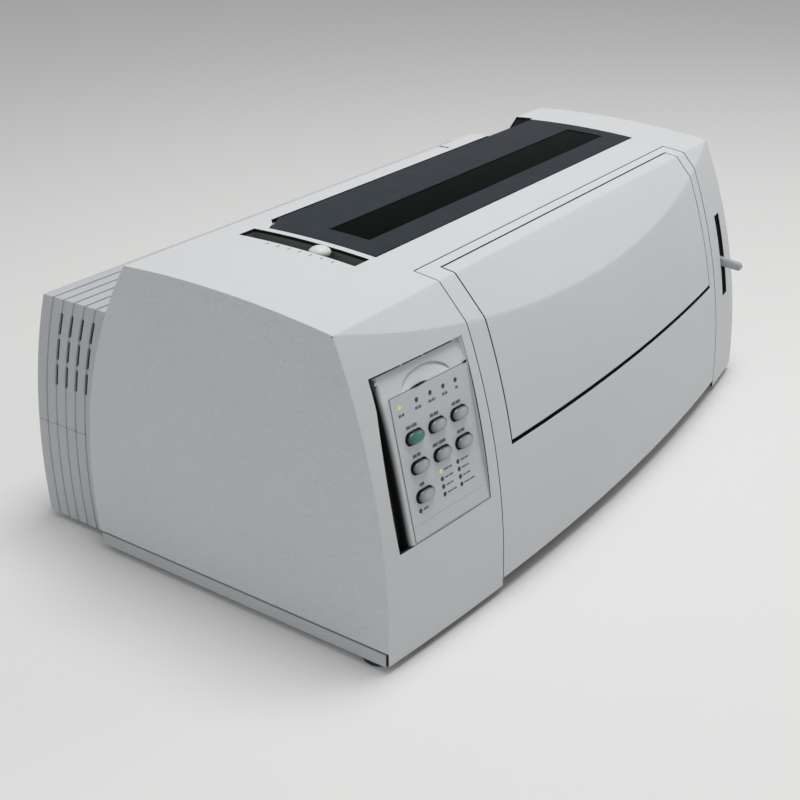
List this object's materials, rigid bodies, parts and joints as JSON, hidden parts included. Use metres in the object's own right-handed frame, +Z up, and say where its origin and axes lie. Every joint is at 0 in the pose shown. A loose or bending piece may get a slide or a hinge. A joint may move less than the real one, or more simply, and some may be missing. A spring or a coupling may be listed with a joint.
{
  "type": "dot matrix printer",
  "caption": "Wide-carriage impact printer with a bowed front, hinged lid, front cover and paper flap, keypad, platen, carriage and tractors.",
  "frame": {"origin": "on the floor, below the middle of the printer's width and depth", "axes": "+X to the right of the person facing the front, -Y towards that person, +Z up"},
  "size_m": [0.5968, 0.3742, 0.2451],
  "materials": {
    "case_shell": "fine leather grain",
    "rear_shell": "fine leather grain",
    "feet_rubber": "matt",
    "lid_charcoal": "fine grain",
    "window_gloss": "polished smoked plastic",
    "black_plastic": "satin",
    "panel_grey": "satin",
    "button_silver": "gloss",
    "button_green": "gloss",
    "light_lens": "clear lens",
    "circuit_board": "satin",
    "ivory_plastic": "satin",
    "dark_plastic": "satin",
    "lever_grey": "satin",
    "steel_rod": "ground",
    "steel_sheet": "galvanised",
    "platen_rubber": "ground rubber",
    "motor_casing": "satin"
  },
  "bodies": {
    "case": {"base_pan": "rear_shell", "feet": "feet_rubber", "left_side_panel": "case_shell", "right_side_panel": "case_shell", "top_shell": "case_shell", "left_column": "case_shell", "right_column": "case_shell", "cover_hinge_pins": "steel_rod", "rear_cover": "rear_shell", "rear_base_cover": "rear_shell", "paper_exit_guide": "black_plastic", "control_panel": "panel_grey", "label_plate": "panel_grey", "panel_lights": "light_lens", "panel_board": "circuit_board", "lever_guide": "dark_plastic", "paper_lever_pivot": "steel_rod", "left_frame": "steel_sheet", "right_frame": "steel_sheet", "feed_motor": "motor_casing", "carriage_shaft": "steel_rod", "front_rail": "steel_rod", "drive_belt": "black_plastic", "carriage_motor": "motor_casing", "tractor_rod": "steel_rod", "paper_guide": "steel_sheet", "power_supply": "steel_sheet", "main_board": "circuit_board", "power_inlet": "black_plastic", "interface_socket": "dark_plastic"},
    "front_cover": {"front_cover": "case_shell"},
    "front_flap": {"front_flap": "case_shell"},
    "lid": {"lid": "lid_charcoal", "lid_window": "window_gloss"},
    "thickness_lever": {"thickness_lever": "ivory_plastic"},
    "paper_lever": {"paper_lever": "lever_grey"},
    "platen": {"platen": "platen_rubber", "platen_shaft": "steel_rod", "platen_knob": "dark_plastic", "platen_gear": "ivory_plastic"},
    "feed_pinion": {"feed_pinion": "ivory_plastic"},
    "tractor_shaft": {"tractor_shaft": "steel_rod"},
    "carriage": {"carriage": "dark_plastic", "print_head": "black_plastic", "ribbon_cartridge": "dark_plastic"},
    "idler_pulley": {"idler_pulley": "ivory_plastic"},
    "motor_pulley": {"motor_pulley": "ivory_plastic"},
    "left_tractor": {"left_tractor": "dark_plastic"},
    "right_tractor": {"right_tractor": "dark_plastic"},
    "left_tractor_door": {"left_tractor_door": "black_plastic"},
    "right_tractor_door": {"right_tractor_door": "black_plastic"},
    "power_switch": {"power_switch": "black_plastic"},
    "start_button": {"start_button": "button_green"},
    "line_feed_button": {"line_feed_button": "button_silver"},
    "form_feed_button": {"form_feed_button": "button_silver"},
    "tear_off_button": {"tear_off_button": "button_silver"},
    "load_button": {"load_button": "button_silver"},
    "tractor_button": {"tractor_button": "button_silver"},
    "font_button": {"font_button": "button_silver"}
  },
  "joints": [
    {"name": "front_cover_hinge", "type": "hinge", "parent": "case", "child": "front_cover", "pos_m": [0, -0.16785, 0.024], "axis": [1, 0, 0], "range_deg": [0, 75]},
    {"name": "front_flap_hinge", "type": "hinge", "parent": "front_cover", "child": "front_flap", "pos_m": [0, -0.11285, 0.23131], "axis": [-1, 0, 0], "range_deg": [0, 70]},
    {"name": "lid_hinge", "type": "hinge", "parent": "case", "child": "lid", "pos_m": [0, 0.03795, 0.24027], "axis": [-1, 0, 0], "range_deg": [0, 80]},
    {"name": "thickness_lever_slide", "type": "slide", "parent": "case", "child": "thickness_lever", "axis": [0, 1, 0], "range_m": [-0.03, 0.058]},
    {"name": "paper_lever_hinge", "type": "hinge", "parent": "case", "child": "paper_lever", "pos_m": [0.267, -0.07285, 0.134], "axis": [-1, 0, 0], "range_deg": [-14, 26]},
    {"name": "start_button_press", "type": "slide", "parent": "case", "child": "start_button", "axis": [0.1008, 0.9703, -0.2199], "range_m": [0, 0.0015], "stiffness_N_per_m": 600},
    {"name": "line_feed_button_press", "type": "slide", "parent": "case", "child": "line_feed_button", "axis": [0.1008, 0.9703, -0.2199], "range_m": [0, 0.0015], "stiffness_N_per_m": 600},
    {"name": "form_feed_button_press", "type": "slide", "parent": "case", "child": "form_feed_button", "axis": [0.1008, 0.9703, -0.2199], "range_m": [0, 0.0015], "stiffness_N_per_m": 600},
    {"name": "tear_off_button_press", "type": "slide", "parent": "case", "child": "tear_off_button", "axis": [0.1008, 0.9703, -0.2199], "range_m": [0, 0.0015], "stiffness_N_per_m": 600},
    {"name": "load_button_press", "type": "slide", "parent": "case", "child": "load_button", "axis": [0.1008, 0.9703, -0.2199], "range_m": [0, 0.0015], "stiffness_N_per_m": 600},
    {"name": "tractor_button_press", "type": "slide", "parent": "case", "child": "tractor_button", "axis": [0.1008, 0.9703, -0.2199], "range_m": [0, 0.0015], "stiffness_N_per_m": 600},
    {"name": "font_button_press", "type": "slide", "parent": "case", "child": "font_button", "axis": [0.1008, 0.9703, -0.2199], "range_m": [0, 0.0015], "stiffness_N_per_m": 600},
    {"name": "platen_spin", "type": "hinge", "parent": "case", "child": "platen", "pos_m": [0, 0.00015, 0.186], "axis": [1, 0, 0], "continuous": true},
    {"name": "feed_pinion_spin", "type": "hinge", "parent": "case", "child": "feed_pinion", "pos_m": [0, -0.02248, 0.16337], "axis": [1, 0, 0], "continuous": true},
    {"name": "tractor_spin", "type": "hinge", "parent": "case", "child": "tractor_shaft", "pos_m": [0, -0.14185, 0.112], "axis": [1, 0, 0], "continuous": true},
    {"name": "carriage_slide", "type": "slide", "parent": "case", "child": "carriage", "axis": [1, 0, 0], "range_m": [-0.045, 0.3]},
    {"name": "idler_pulley_spin", "type": "hinge", "parent": "case", "child": "idler_pulley", "pos_m": [-0.1675, -0.08985, 0.152], "axis": [0, 1, 0], "continuous": true},
    {"name": "motor_pulley_spin", "type": "hinge", "parent": "case", "child": "motor_pulley", "pos_m": [0.222, -0.08985, 0.152], "axis": [0, 1, 0], "continuous": true},
    {"name": "left_tractor_slide", "type": "slide", "parent": "case", "child": "left_tractor", "axis": [1, 0, 0], "range_m": [-0.03, 0.06]},
    {"name": "right_tractor_slide", "type": "slide", "parent": "case", "child": "right_tractor", "axis": [1, 0, 0], "range_m": [-0.06, 0.003]},
    {"name": "left_tractor_door_hinge", "type": "hinge", "parent": "left_tractor", "child": "left_tractor_door", "pos_m": [-0.112, -0.14185, 0.1256], "axis": [0, 1, 0], "range_deg": [0, 100]},
    {"name": "right_tractor_door_hinge", "type": "hinge", "parent": "right_tractor", "child": "right_tractor_door", "pos_m": [0.174, -0.14185, 0.1256], "axis": [0, -1, 0], "range_deg": [0, 100]},
    {"name": "power_switch_rock", "type": "hinge", "parent": "case", "child": "power_switch", "pos_m": [-0.206, 0.17915, 0.042], "axis": [-1, 0, 0], "range_deg": [0, 16]}
  ],
  "couplings": [
    {"joint": "feed_pinion_spin", "follows": "platen_spin", "ratio": -3},
    {"joint": "tractor_spin", "follows": "platen_spin", "ratio": 2},
    {"joint": "idler_pulley_spin", "follows": "carriage_slide", "rad_per_m": 125},
    {"joint": "motor_pulley_spin", "follows": "carriage_slide", "rad_per_m": 125}
  ]
}
